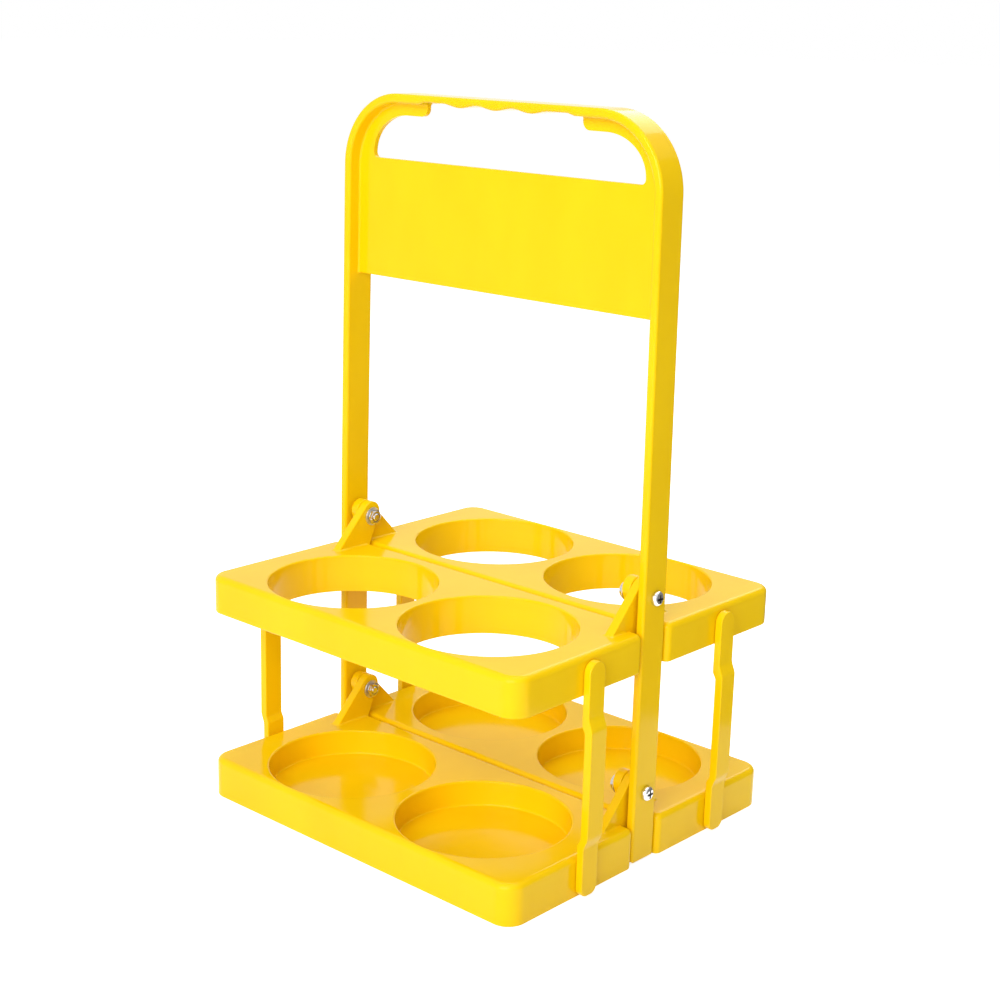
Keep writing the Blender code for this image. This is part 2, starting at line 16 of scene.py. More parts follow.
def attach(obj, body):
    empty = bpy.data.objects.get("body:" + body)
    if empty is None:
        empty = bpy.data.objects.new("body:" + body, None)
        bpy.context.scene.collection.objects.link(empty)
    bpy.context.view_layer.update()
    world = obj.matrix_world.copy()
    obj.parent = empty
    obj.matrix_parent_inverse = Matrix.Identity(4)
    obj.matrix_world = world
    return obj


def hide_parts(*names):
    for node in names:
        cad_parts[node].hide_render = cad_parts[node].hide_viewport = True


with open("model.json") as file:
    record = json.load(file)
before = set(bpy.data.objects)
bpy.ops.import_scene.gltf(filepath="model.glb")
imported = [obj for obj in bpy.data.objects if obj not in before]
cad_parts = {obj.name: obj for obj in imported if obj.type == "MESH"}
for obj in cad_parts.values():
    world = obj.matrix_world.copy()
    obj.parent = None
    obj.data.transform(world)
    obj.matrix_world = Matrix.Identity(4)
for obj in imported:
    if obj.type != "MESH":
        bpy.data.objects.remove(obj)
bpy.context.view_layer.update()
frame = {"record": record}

# Camera
AZIMUTH = 0.730508            # radians, from -Y towards +X
ELEVATION = 0.265113
ROLL = 0.0275958
AIM = Vector((0.10725, -0.11527, 0.2))
DISTANCE = 0.716368
LENS = 64.878                 # millimetres, like the sensor
SENSOR = 36.0

# Roundness of the pieces
FACET = 0.00001               # how far a straight run may leave its arc
CUT_OVERRUN = 0.002           # how far a cutter runs past the face that it opens
SEAT_GAP = 0.0003             # between pieces that touch
SMOOTH_ANGLE = math.radians(32)

# Cup seats
CUP_RADIUS = 0.0417
COLLAR_WALL = 0.0018
COLLAR_GAP = 0.0028           # between the two collars of a half tray
CUP_RIM_ROUNDING = 0.001
RECESS_DEPTH = 0.013
RECESS_FLOOR = 0.002
RECESS_FILLET = 0.0009

# Half trays, laid open
OUTER_LAND = 0.0031           # cup hole to the outer face
SEAM_LAND = 0.0089            # cup hole to the seam edge
SIDE_LAND = 0.0138            # collar to the side face
SEAM_GAP = 0.001              # between the two halves of a deck
LOWER_TOP = 0.0204            # the lower deck stands on its skirt
UPPER_SKIRT = 0.019
TOP_PLATE = 0.0024
SKIRT_WALL = 0.002
CORNER_RADIUS = 0.0095
TOP_ROUNDING = 0.003
SKIRT_ROUNDING = 0.0008
GATE_DISH_RADIUS = 0.0032     # the shallow dish under the middle of a recess
GATE_DISH_DEPTH = 0.0004
GATE_NUB_RADIUS = 0.0009
PIN_RADIUS = 0.0025           # ejector pin marks on the underside
PIN_DEPTH = 0.00015
PIN_INSET = 0.009             # from the outer and side faces
PIN_CIRCLE = 0.027            # under a recess
PIN_COUNT = 4
FOLD_GAP = 0.0008             # folded, from the lower half's outer face to the upper half's seam edge

# Notches that let the posts through
NOTCH_SIDE_GAP = 0.0011
NOTCH_FRONT_GAP = 0.0011
NOTCH_OUTER_RADIUS = 0.0032
NOTCH_INNER_RADIUS = 0.0024

# Hinge ears on the half trays
HINGE_RISE = 0.0146           # tray top to hinge axis
EAR_TIP_RADIUS = 0.0057
EAR_TIP_RISE = 0.0021         # hinge axis to the centre of the round tip
EAR_THICKNESS = 0.0047
EAR_HEEL = 0.0005             # from the seam edge
EAR_TOE = 0.023               # from the seam edge
EAR_ROOT = 0.003
EAR_FILLET = 0.0018           # where the ear meets the tray
EAR_ROUNDING = 0.0006
EAR_GAP = 0.0004              # between the front half's ear and the back half's
EAR_SETBACK = 0.0001          # from the notch face

# Handle frame
FRAME_HEIGHT = 0.348
FOOT_CLEARANCE = 0.0012       # from the floor
POST_SETBACK = 0.0014         # from the trays' side faces
BAND_THICKNESS = 0.0044
BAND_WIDTH = 0.0166
BAND_ROUNDING = 0.0015
SHOULDER_RADIUS = 0.036
SHOULDER_DRAW = 0.0016        # how far the shoulders lean in
DRAW_RISE = 0.0188            # upper hinge to where the posts start to lean in
WEB_THICKNESS = 0.0024
WEB_DEPTH = 0.0902            # from the frame's top to the web's lower edge
WEB_ROUNDING = 0.0005
WEB_FILLET = 0.0012           # where the web meets the band
FILLET_SINK = 0.00003         # how far a fillet's thin edge runs into the face beside it

# Hand hole and grip
HAND_HALF_WIDTH = 0.0848
HAND_DEPTH = 0.0318           # from the frame's top to the hand hole's lower edge
HAND_BOTTOM_RADIUS = 0.0025
HAND_TOP_WIDTH = 0.023        # of the curve that joins the side to the tab
TAB_DEPTH = 0.0105            # from the frame's top to the underside of the tabs
TAB_END = 0.0483              # from the middle
TAB_RADIUS = 0.004
GRIP_THICKNESS = 0.0033
GRIP_BLEND = 0.004
WAVE_HEIGHT = 0.0015
WAVE_LENGTH = 0.022
WAVE_COUNT = 3
WAVE_STEPS = 24               # straight runs in one wave

# Side links and their pegs
LINK_WIDTH = 0.0108
LINK_THICKNESS = 0.0038
LINK_FACE_BOW = 0.0021        # how far the outer face stands out in the middle
LINK_FACE_SLOPE = 0.007       # height of the slope to it
LINK_FACE_UPPER = 0.0198      # upper peg to the slope
LINK_FACE_LOWER = 0.0122      # lower peg to the slope
LINK_BACK_BOW = 0.0017        # the same for the inner face
LINK_BACK_SLOPE = 0.004
LINK_BACK_UPPER = 0.0244
LINK_BACK_LOWER = 0.0137
LINK_FOOT = 0.0111            # lower peg to the lower end
LINK_FOOT_RADIUS = 0.004
SLOPE_STEPS = 8               # straight runs in one slope of a link
LINK_ROUNDING = 0.0005
LINK_NEAR = 0.0464            # peg to the middle plane, on the side where the ear stands by the post
LINK_FAR = 0.0517             # the same on the other side
PEG_DROP = 0.0082             # tray top to peg axis
PEG_RADIUS = 0.0025
PEG_PLAY = 0.0004
PEG_HEAD_RADIUS = 0.0034
PEG_HEAD_HEIGHT = 0.0013
PEG_HEAD_CHAMFER = 0.0007
PEG_SLOT = 0.0008             # the slit that lets a peg snap in
PEG_SLOT_DEPTH = 0.0026

# Hinge bolts, washers and nuts
BOLT_RADIUS = 0.002
BOLT_PLAY = 0.0003
HEAD_RADIUS = 0.00365
HEAD_HEIGHT = 0.0026
HEAD_SKIRT = 0.0007           # straight edge of the pan head
DRIVE_ARMS = 4
DRIVE_LENGTH = 0.0042
DRIVE_WIDTH = 0.0011
DRIVE_DEPTH = 0.0016
DRIVE_TAPER = 0.0003          # how much a wing of the cross recess narrows with its depth
DRIVE_LIP = 0.0003            # how deep the recess is still as bright as the head
TIP_CHAMFER = 0.0004
THREAD_PITCH = 0.0007
THREAD_DEPTH = 0.0003
THREAD_TURNS = 3
THREAD_END = 0.0004           # how far the bolt shows past its nut
WASHER_RADIUS = 0.0048
WASHER_THICKNESS = 0.0005
WASHER_ROUNDING = 0.0001
NUT_SIDES = 6
NUT_FLATS = 0.007
NUT_THICKNESS = 0.0022
NUT_CROWN = 0.0004            # nut flat to the round edge of its end face
NUT_CHAMFER_RISE = 0.0007     # how far down a corner the chamfer runs

# Places worked out from the sizes
CUP_X = CUP_RADIUS + COLLAR_WALL + COLLAR_GAP / 2
SIDE_X = CUP_X + CUP_RADIUS + COLLAR_WALL + SIDE_LAND
SEAM_Y = SEAM_GAP / 2
CUP_Y = SEAM_Y + SEAM_LAND + CUP_RADIUS
OUTER_Y = CUP_Y + CUP_RADIUS + OUTER_LAND
DECK_PITCH = OUTER_Y - SEAM_Y + FOLD_GAP
LOWER_HINGE_Z = LOWER_TOP + HINGE_RISE
UPPER_HINGE_Z = LOWER_HINGE_Z + DECK_PITCH
DRAW_START = UPPER_HINGE_Z + DRAW_RISE
WEB_BOTTOM = FRAME_HEIGHT - WEB_DEPTH
HAND_BOTTOM = FRAME_HEIGHT - HAND_DEPTH
POST_X = SIDE_X - POST_SETBACK
NOTCH_X = POST_X - BAND_THICKNESS - NOTCH_SIDE_GAP
NOTCH_Y = BAND_WIDTH / 2 + NOTCH_FRONT_GAP
EAR_X = NOTCH_X - EAR_SETBACK
INBOARD_EAR_X = EAR_X - EAR_THICKNESS - EAR_GAP
EAR_FACE_X = INBOARD_EAR_X - EAR_THICKNESS
PEG_Z = -HINGE_RISE - PEG_DROP

# Turns
QUARTER_TURN = math.pi / 2
HALF_TURN = math.pi
FULL_TURN = 2 * math.pi

# Materials: noise scales per metre, colours as linear values
YELLOWS = ((0.935, 0.592, 0.002), (0.965, 0.627, 0.003))
STREAK_SCALE = 26
STREAK_STRETCH = (1, 1, 0.45)
PATCH_SCALE = 70
PLASTIC_ROUGHNESS = (0.09, 0.16)
PEEL_SCALE = 210
PEEL_HEIGHT = 0.00005
PEEL_STRENGTH = 0.12
PLASTIC_IOR = 1.45
PLASTIC_SPECULAR = 0.16
BLOTCH_SCALE = 900
SMEAR_SCALE = 2500
MARK_STRETCH = (6, 1, 1)
MARK_HEIGHT = 0.00001
MARK_STRENGTH = 0.3

# Studio
FLOOR_SIZE = 30.0
FLOOR_SHADE = 0.86
FLOOR_LIFT = 0.72
WORLD_LEVEL = 0.34
LAMP_AIM = Vector((0, 0, 0.12))
CARD_AZIMUTH = math.radians(48)
CARD_FOOT = 0.25              # from the middle of the object
CARD_TOP = 0.6
CARD_HEIGHT = 0.6
CARD_WIDTH = 1.0
CARD_SHADE = 0.2
LAMPS = (                     # name, place, size, power in watts
    ("key", (0.58, -1.7, 0.9), (1.5, 1.2), 31),
    ("top", (0.0, 0.1, 1.6), (1.4, 1.4), 11),
    ("back", (-0.5, 1.5, 1.4), (1.2, 1.0), 10),
)

# Local X, Y and Z of a slab or a turned piece, set along the model's axes
ALONG_Z = Matrix.Identity(3)
ALONG_X = Matrix(((0, 0, 1), (1, 0, 0), (0, 1, 0)))
ALONG_Y = Matrix(((1, 0, 0), (0, 0, -1), (0, 1, 0)))


def arc_steps(radius, angle):
    """How many straight runs stand for an arc."""
    widest = 2 * math.acos(1 - min(1, FACET / radius))
    return max(2, math.ceil(abs(angle) / widest))


def arc(centre, start, angle, steps):
    """The points of an arc about the centre, from the start point."""
    arm = start - centre
    points = []
    for step in range(steps + 1):
        turned_arm = arm.copy()
        turned_arm.rotate(Matrix.Rotation(angle * step / steps, 2))
        points.append(centre + turned_arm)
    return points


def circle(radius):
    """A closed round outline."""
    steps = arc_steps(radius, FULL_TURN)
    return arc(Vector((0, 0)), Vector((radius, 0)), FULL_TURN, steps)[:-1]


def filleted(corners):
    """A closed outline from corners given as (x, y, radius), each corner rounded by its arc."""
    outline = []
    for i, (x, y, radius) in enumerate(corners):
        here = Vector((x, y))
        before = (here - Vector(corners[i - 1][:2])).normalized()
        after = (Vector(corners[(i + 1) % len(corners)][:2]) - here).normalized()
        if radius == 0:
            outline.append(here)
            continue
        turn = math.atan2(before.cross(after), before.dot(after))
        tangent = radius * math.tan(abs(turn) / 2)
        start = here - before * tangent
        inward = Vector((-before.y, before.x)) * math.copysign(radius, turn)
        outline += arc(start + inward, start, turn, arc_steps(radius, turn))
    return outline


def drawn_in(outline, inset):
    """The outline with each of its sides moved inwards."""
    points = []
    for i, here in enumerate(outline):
        before = (here - outline[i - 1]).normalized()
        after = (outline[(i + 1) % len(outline)] - here).normalized()
        inward = Vector((-before.y, before.x)) + Vector((-after.y, after.x))
        points.append(here + inward * (inset / (1 + before.dot(after))))
    return points


def rounded_edge(radius):
    """Drop and inset along a rounded edge, from the side face to the flat face."""
    if radius == 0:
        return [(0, 0)]
    steps = arc_steps(radius, QUARTER_TURN)
    angles = [QUARTER_TURN * step / steps for step in range(steps + 1)]
    return [(radius * (1 - math.sin(angle)), radius * (1 - math.cos(angle))) for angle in angles]


def ring_heights(low, high, low_rounding=0, high_rounding=0):
    """Heights and insets of a slab's rings, with its two edges rounded."""
    bottom = [(low + drop, inset) for drop, inset in reversed(rounded_edge(low_rounding))]
    top = [(high - drop, inset) for drop, inset in rounded_edge(high_rounding)]
    return bottom + top


def as_mesh(shape):
    """Turns a finished bmesh into a mesh."""
    mesh = bpy.data.meshes.new("piece")
    shape.to_mesh(mesh)
    shape.free()
    return mesh


def stacked(rings, axes=ALONG_Z, shift=Vector((0, 0, 0))):
    """A closed stack of outlines, each at its own height."""
    shape = bmesh.new()
    stack = []
    for height, outline in rings:
        points = [shift + axes @ Vector((*point, height)) for point in outline]
        stack.append([shape.verts.new(point) for point in points])
    shape.faces.new(reversed(stack[0]))
    shape.faces.new(stack[-1])
    for low, high in zip(stack, stack[1:]):
        for i in range(len(low)):
            shape.faces.new((low[i - 1], low[i], high[i], high[i - 1]))
    return as_mesh(shape)


def slab(outline, rings, axes=ALONG_Z, shift=Vector((0, 0, 0))):
    """A closed stack of rings, each the outline drawn in by its own inset."""
    return stacked([(height, drawn_in(outline, inset)) for height, inset in rings], axes, shift)


def turned(profile, axes=ALONG_Z, shift=Vector((0, 0, 0))):
    """A solid turned from (radius, height) points, listed from its lower end to its upper end."""
    shape = bmesh.new()
    steps = arc_steps(max(radius for radius, _ in profile), FULL_TURN)
    angles = [FULL_TURN * step / steps for step in range(steps)]
    stack = []
    for radius, height in profile:
        points = [Vector((radius * math.cos(angle), radius * math.sin(angle), height)) for angle in angles]
        stack.append([shape.verts.new(shift + axes @ point) for point in points])
    shape.faces.new(reversed(stack[0]))
    shape.faces.new(stack[-1])
    for low, high in zip(stack, stack[1:]):
        for i in range(steps):
            shape.faces.new((low[i - 1], low[i], high[i], high[i - 1]))
    return as_mesh(shape)


def side_by_side(*meshes):
    """One mesh that holds several solids that don't touch."""
    shape = bmesh.new()
    for mesh in meshes:
        shape.from_mesh(mesh)
        bpy.data.meshes.remove(mesh)
    return as_mesh(shape)


def combined(body, tool, operation):
    """The body's mesh after the tool is joined to it, or cut from it."""
    holders = []
    for mesh in (body, tool):
        holder = bpy.data.objects.new("holder", mesh)
        bpy.context.collection.objects.link(holder)
        holders.append(holder)
    change = holders[0].modifiers.new("change", "BOOLEAN")
    change.object = holders[1]
    change.operation = operation
    change.solver = "EXACT"
    graph = bpy.context.evaluated_depsgraph_get()
    result = bpy.data.meshes.new_from_object(holders[0].evaluated_get(graph), depsgraph=graph)
    for holder in holders:
        bpy.data.objects.remove(holder)
    for mesh in (body, tool):
        bpy.data.meshes.remove(mesh)
    return result


def tray_outline():
    """Plan of the front half tray, with a notch for the post at each end of its seam edge."""
    return filleted([
        (-SIDE_X, -OUTER_Y, CORNER_RADIUS),
        (SIDE_X, -OUTER_Y, CORNER_RADIUS),
        (SIDE_X, -NOTCH_Y, NOTCH_OUTER_RADIUS),
        (NOTCH_X, -NOTCH_Y, NOTCH_INNER_RADIUS),
        (NOTCH_X, -SEAM_Y, NOTCH_OUTER_RADIUS),
        (-NOTCH_X, -SEAM_Y, NOTCH_OUTER_RADIUS),
        (-NOTCH_X, -NOTCH_Y, NOTCH_INNER_RADIUS),
        (-SIDE_X, -NOTCH_Y, NOTCH_OUTER_RADIUS),
    ])


def tangent_angle(point, side):
    """Where a line from the point touches the ear's round tip, as an angle about the tip's centre."""
    arm = point - Vector((0, EAR_TIP_RISE))
    return math.atan2(arm.y, arm.x) + side * math.acos(EAR_TIP_RADIUS / arm.length)


def ear_outline():
    """Side view of a hinge ear in Y and Z from the hinge axis: a foot, two straight flanks, a round tip."""
    foot = -HINGE_RISE - EAR_ROOT
    centre = Vector((0, EAR_TIP_RISE))
    heel = Vector((-SEAM_Y - EAR_HEEL, -HINGE_RISE))
    toe = Vector((-SEAM_Y - EAR_TOE, -HINGE_RISE))
    first = tangent_angle(heel, 1)
    last = tangent_angle(toe, -1) + FULL_TURN
    start = centre + EAR_TIP_RADIUS * Vector((math.cos(first), math.sin(first)))
    steps = arc_steps(EAR_TIP_RADIUS, last - first)
    tip = arc(centre, start, last - first, steps)
    return [Vector((toe.x, foot)), Vector((heel.x, foot)), heel, *tip, toe]


def ear(outer_x):
    """A hinge ear whose outboard face is at outer_x."""
    rings = ring_heights(outer_x - EAR_THICKNESS, outer_x, EAR_ROUNDING, EAR_ROUNDING)
    return slab(ear_outline(), rings, ALONG_X)


def ear_fillet(low_x, high_x, heel):
    """The flared foot round an ear, as wide as the two places across it, leaning with the ear's flank."""
    toe = -SEAM_Y - EAR_TOE - EAR_FILLET + EAR_ROUNDING / 2
    radius = EAR_FILLET + EAR_ROUNDING
    corners = [(low_x, toe), (high_x, toe), (high_x, heel), (low_x, heel)]
    outline = filleted([(x, y, radius) for x, y in corners])
    rings = [(-EAR_ROOT, 0)]
    rings += [(inset, EAR_FILLET - drop) for drop, inset in rounded_edge(EAR_FILLET)]
    mesh = slab(outline, rings, shift=Vector((0, 0, -HINGE_RISE)))
    flank = ear_outline()
    lean = (flank[-2] - flank[-1]).x / (flank[-2] - flank[-1]).y
    for vert in mesh.vertices:
        rise = max(0, vert.co.z + HINGE_RISE)
        toe_share = (heel - vert.co.y) / (heel - toe)
        vert.co.y += lean * rise * toe_share
    return mesh


def cup_places():
    """Centres of the two cup seats, seen from above."""
    return [Vector((side * CUP_X, -CUP_Y, 0)) for side in (-1, 1)]


def cup_cutter(centre, top, floor, fillet):
    """What a cup seat takes out of the tray, with a rounded rim and a fillet at its floor."""
    profile = [(CUP_RADIUS - inset, floor + drop) for drop, inset in reversed(rounded_edge(fillet))]
    rim = reversed(rounded_edge(CUP_RIM_ROUNDING))
    profile += [(CUP_RADIUS + drop, top - inset) for drop, inset in rim]
    profile.append((CUP_RADIUS + CUP_RIM_ROUNDING, top + CUT_OVERRUN))
    return turned(profile, shift=centre)


def half_tray(skirt, seat_depth, fillet):
    """The front half of a deck, from the hinge axis, with a skirt and cup seats of the given depths.

    A seat as deep as the skirt or deeper is a hole right through, and a shallower one has a floor.
    """
    top = -HINGE_RISE
    bottom = top - skirt
    outline = tray_outline()
    body = slab(outline, ring_heights(bottom, top, SKIRT_ROUNDING, TOP_ROUNDING))
    ears = side_by_side(ear(EAR_X), ear(-EAR_FACE_X))
    body = combined(body, ears, "UNION")
    flare = EAR_FILLET - EAR_ROUNDING / 2
    heel = -SEAM_Y - EAR_HEEL - EAR_ROUNDING
    post_side = ear_fillet(EAR_X - EAR_THICKNESS - flare, EAR_X - EAR_ROUNDING, heel)
    free_side = ear_fillet(-INBOARD_EAR_X - flare, -EAR_FACE_X + flare, heel)
    body = combined(body, side_by_side(post_side, free_side), "UNION")
    notch_side = ear_fillet(EAR_X - EAR_THICKNESS + EAR_ROUNDING, EAR_X + flare, -NOTCH_Y - TOP_ROUNDING)
    body = combined(body, notch_side, "UNION")

    hollow_rings = ring_heights(bottom - CUT_OVERRUN, top - TOP_PLATE)
    hollow = slab(drawn_in(outline, SKIRT_WALL), hollow_rings)
    collar_rings = ring_heights(top - seat_depth - RECESS_FLOOR, top)
    collar = circle(CUP_RADIUS + COLLAR_WALL)
    collars = [slab(collar, collar_rings, shift=centre) for centre in cup_places()]
    hollow = combined(hollow, side_by_side(*collars), "DIFFERENCE")
    body = combined(body, hollow, "DIFFERENCE")

    seats = [cup_cutter(centre, top, top - seat_depth, fillet) for centre in cup_places()]
    body = combined(body, side_by_side(*seats), "DIFFERENCE")
    marks = pin_marks(plate_pins(), top - TOP_PLATE)
    if seat_depth < skirt:
        floor = top - seat_depth - RECESS_FLOOR
        marks = side_by_side(marks, pin_marks(recess_pins(), floor), *gate_dishes(floor))
    body = combined(body, marks, "DIFFERENCE")

    reach = SIDE_X + CUT_OVERRUN
    bolt_bore = slab(circle(BOLT_RADIUS + BOLT_PLAY), ring_heights(-reach, reach), ALONG_X)
    near_bore = peg_bore(SIDE_X - SKIRT_WALL - CUT_OVERRUN, LINK_NEAR)
    far_bore = peg_bore(-reach, LINK_FAR)
    return combined(body, side_by_side(bolt_bore, near_bore, far_bore), "DIFFERENCE")


def plate_pins():
    """Places of the ejector pin marks under a tray's plate: in its outer corners and between the cups."""
    side_x = SIDE_X - PIN_INSET
    outer = [Vector((x, PIN_INSET - OUTER_Y, 0)) for x in (-side_x, 0, side_x)]
    return [*outer, Vector((0, -SEAM_Y - SKIRT_WALL - PIN_INSET, 0))]


def recess_pins():
    """Places of the ejector pin marks under the recesses."""
    places = []
    for centre in cup_places():
        for pin in range(PIN_COUNT):
            angle = FULL_TURN * (pin + 1 / 2) / PIN_COUNT
            places.append(centre + PIN_CIRCLE * Vector((math.cos(angle), math.sin(angle), 0)))
    return places


def pin_marks(places, ceiling):
    """Cutters for round marks in an underside."""
    rings = ring_heights(ceiling - CUT_OVERRUN, ceiling + PIN_DEPTH)
    return side_by_side(*[slab(circle(PIN_RADIUS), rings, shift=place) for place in places])


def gate_dishes(ceiling):
    """Cutters for the dish under the middle of each recess, which leave the gate's nub standing in it."""
    dishes = []
    for centre in cup_places():
        dish_rings = ring_heights(ceiling - CUT_OVERRUN, ceiling + GATE_DISH_DEPTH, 0, GATE_DISH_DEPTH)
        dish = slab(circle(GATE_DISH_RADIUS), dish_rings, shift=centre)
        nub_rings = ring_heights(ceiling + PIN_DEPTH, ceiling + CUT_OVERRUN)
        nub = slab(circle(GATE_NUB_RADIUS), nub_rings, shift=centre)
        dishes.append(combined(dish, nub, "DIFFERENCE"))
    return dishes


def peg_bore(start_x, distance):
    """The cutter of a peg's hole through a side wall."""
    rings = ring_heights(start_x, start_x + SKIRT_WALL + 2 * CUT_OVERRUN)
    return slab(circle(PEG_RADIUS + PEG_PLAY), rings, ALONG_X, Vector((0, -distance, PEG_Z)))


def band_path(inset, start_z):
    """The right half of the frame's outline drawn in by the inset, from the given height to the top."""
    shoulder_x = POST_X - SHOULDER_DRAW
    shoulder_z = FRAME_HEIGHT - SHOULDER_RADIUS
    if start_z < DRAW_START:
        points = [Vector((POST_X - inset, start_z)), Vector((POST_X - inset, DRAW_START))]
    else:
        lean_share = (start_z - DRAW_START) / (shoulder_z - DRAW_START)
        points = [Vector((POST_X - SHOULDER_DRAW * lean_share - inset, start_z))]
    centre = Vector((shoulder_x - SHOULDER_RADIUS, shoulder_z))
    shoulder = Vector((shoulder_x - inset, shoulder_z))
    steps = arc_steps(SHOULDER_RADIUS, QUARTER_TURN)
    return points + arc(centre, shoulder, QUARTER_TURN, steps)


def mirrored(points):
    """The same points on the other side of the middle plane, in reverse order."""
    return [Vector((-point.x, point.y)) for point in reversed(points)]


def grip_underside():
    """Underside of the grip, from left to right: waves for the fingers between two thin ends."""
    points = [Vector((-TAB_END, FRAME_HEIGHT - BAND_THICKNESS))]
    points.append(Vector((GRIP_BLEND - TAB_END, FRAME_HEIGHT - GRIP_THICKNESS)))
    for step in range(WAVE_COUNT * WAVE_STEPS + 1):
        wave_share = step / WAVE_STEPS
        rise = WAVE_HEIGHT * (1 - math.cos(FULL_TURN * wave_share)) / 2
        x = WAVE_LENGTH * (wave_share - WAVE_COUNT / 2)
        points.append(Vector((x, FRAME_HEIGHT - GRIP_THICKNESS - rise)))
    return points + mirrored(points[:2])


def band():
    """The flat band that runs up both posts and over the top."""
    outer = band_path(0, FOOT_CLEARANCE)
    inner = band_path(BAND_THICKNESS, FOOT_CLEARANCE)[::-1]
    outline = outer + mirrored(outer) + mirrored(inner) + grip_underside() + inner
    rings = ring_heights(-BAND_WIDTH / 2, BAND_WIDTH / 2, BAND_ROUNDING, BAND_ROUNDING)
    return slab(outline, rings, ALONG_Y)


def web_fillets():
    """The band's inner face thickened into the web: a ring that narrows away from the web on both sides."""
    outer = band_path(BAND_THICKNESS / 2, WEB_BOTTOM)
    rings = []
    for inward, out in rounded_edge(WEB_FILLET):
        inner = band_path(BAND_THICKNESS - FILLET_SINK + inward, WEB_BOTTOM)[::-1]
        outline = outer + mirrored(outer) + mirrored(inner) + inner
        height = WEB_THICKNESS / 2 + out
        rings = [(-height, outline), *rings, (height, outline)]
    return stacked(rings, ALONG_Y)


def hand_hole():
    """Outline of the hand hole in the web, open at the top between its two tabs."""
    tab_z = FRAME_HEIGHT - TAB_DEPTH
    side_z = HAND_BOTTOM + HAND_BOTTOM_RADIUS
    foot = Vector((HAND_HALF_WIDTH - HAND_BOTTOM_RADIUS, HAND_BOTTOM))
    steps = arc_steps(HAND_BOTTOM_RADIUS, QUARTER_TURN)
    right = arc(Vector((foot.x, side_z)), foot, QUARTER_TURN, steps)
    steps = arc_steps(HAND_TOP_WIDTH, QUARTER_TURN)
    for step in range(1, steps + 1):
        angle = QUARTER_TURN * step / steps
        x = HAND_HALF_WIDTH - HAND_TOP_WIDTH * (1 - math.cos(angle))
        right.append(Vector((x, side_z + (tab_z - side_z) * math.sin(angle))))
    tab = Vector((TAB_END + TAB_RADIUS, tab_z))
    steps = arc_steps(TAB_RADIUS, QUARTER_TURN)
    right += arc(Vector((tab.x, tab_z + TAB_RADIUS)), tab, -QUARTER_TURN, steps)
    right.append(Vector((TAB_END, FRAME_HEIGHT + CUT_OVERRUN)))
    return right + mirrored(right)


def handle_frame():
    """The whole frame: band, web with its hand hole, and the bolt holes in the posts."""
    edge = band_path(BAND_THICKNESS / 2, WEB_BOTTOM)
    rings = ring_heights(-WEB_THICKNESS / 2, WEB_THICKNESS / 2, WEB_ROUNDING, WEB_ROUNDING)
    web = combined(slab(edge + mirrored(edge), rings, ALONG_Y), web_fillets(), "UNION")
    reach = WEB_THICKNESS / 2 + WEB_FILLET + CUT_OVERRUN
    hole_rings = ring_heights(-reach, reach)
    web = combined(web, slab(hand_hole(), hole_rings, ALONG_Y), "DIFFERENCE")
    body = combined(band(), web, "UNION")
    reach = POST_X + CUT_OVERRUN
    bore = circle(BOLT_RADIUS + BOLT_PLAY)
    bores = []
    for height in (LOWER_HINGE_Z, UPPER_HINGE_Z):
        bores.append(slab(bore, ring_heights(-reach, reach), ALONG_X, Vector((0, 0, height))))
    return combined(body, side_by_side(*bores), "DIFFERENCE")


def link_outline():
    """Face of a link in Y and Z from its upper peg: round above, two small corner arcs below."""
    half = LINK_WIDTH / 2
    foot = -DECK_PITCH - LINK_FOOT
    return filleted([
        (half, half, half),
        (-half, half, half),
        (-half, foot, LINK_FOOT_RADIUS),
        (half, foot, LINK_FOOT_RADIUS),
    ])


def bow_at(height, bow, slope, upper, lower):
    """How far a face of a link stands out at a height from its upper peg."""
    below_upper = (-upper - height) / slope
    above_lower = (height + DECK_PITCH - lower) / slope
    share = max(0, min(1, below_upper, above_lower))
    return bow * share * share * (3 - 2 * share)


def peg(height):
    """A snap peg that points inboard from a link, with its chamfered head inside the tray's wall."""
    head_start = -SKIRT_WALL - SEAT_GAP
    head_end = head_start - PEG_HEAD_HEIGHT
    profile = [
        (PEG_HEAD_RADIUS - PEG_HEAD_CHAMFER, head_end),
        (PEG_HEAD_RADIUS, head_end + PEG_HEAD_CHAMFER),
        (PEG_HEAD_RADIUS, head_start),
        (PEG_RADIUS, head_start),
        (PEG_RADIUS, SEAT_GAP + LINK_THICKNESS / 2),
    ]
    return turned(profile, ALONG_X, Vector((0, 0, height)))


def peg_slit(height):
    """The cutter of the slit in a peg's end."""
    half = PEG_SLOT / 2
    tall = PEG_HEAD_RADIUS + CUT_OVERRUN
    end = -SKIRT_WALL - SEAT_GAP - PEG_HEAD_HEIGHT
    outline = [Vector((-half, -tall)), Vector((half, -tall)), Vector((half, tall)), Vector((-half, tall))]
    rings = ring_heights(end - CUT_OVERRUN, end + PEG_SLOT_DEPTH)
    return slab(outline, rings, ALONG_X, Vector((0, 0, height)))


